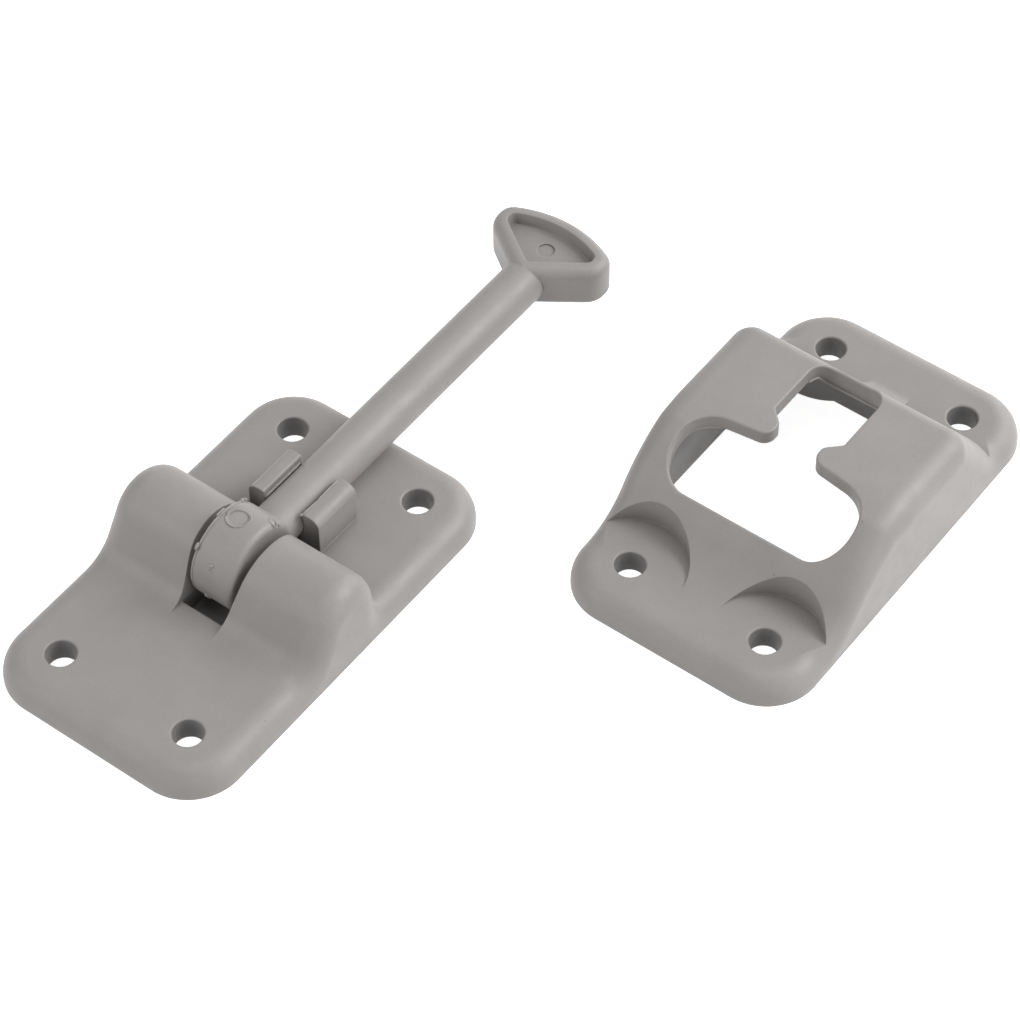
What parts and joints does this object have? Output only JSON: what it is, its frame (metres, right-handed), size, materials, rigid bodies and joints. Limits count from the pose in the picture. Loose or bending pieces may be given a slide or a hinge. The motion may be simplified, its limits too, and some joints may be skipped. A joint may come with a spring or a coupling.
{
  "type": "t-style door holder",
  "caption": "Plastic door holder: a screw-down plate whose hinged round arm ends in a fan-shaped T-head, and a hollow screw-down catch whose T-shaped opening takes the head.",
  "frame": {"origin": "centre of the arm unit's four screw holes, on its mounting face", "axes": "+Z away from the mounting surface, +Y along the stored arm towards its T-head, +X along the hinge pin towards the catch"},
  "size_m": [0.123, 0.1664, 0.0216],
  "materials": {
    "grey_plastic": "satin warm light grey, moulded through",
    "pin_steel": "drawn, plain"
  },
  "bodies": {
    "base": {"arm_base": "grey_plastic", "hinge_pin": "pin_steel", "catch_plate": "grey_plastic"},
    "arm": {"t_arm": "grey_plastic"}
  },
  "joints": [
    {"name": "arm_hinge", "type": "hinge", "parent": "base", "child": "arm", "pos_m": [0, 0.0006, 0.01015], "axis": [1, 0, 0], "range_deg": [0, 180]}
  ]
}
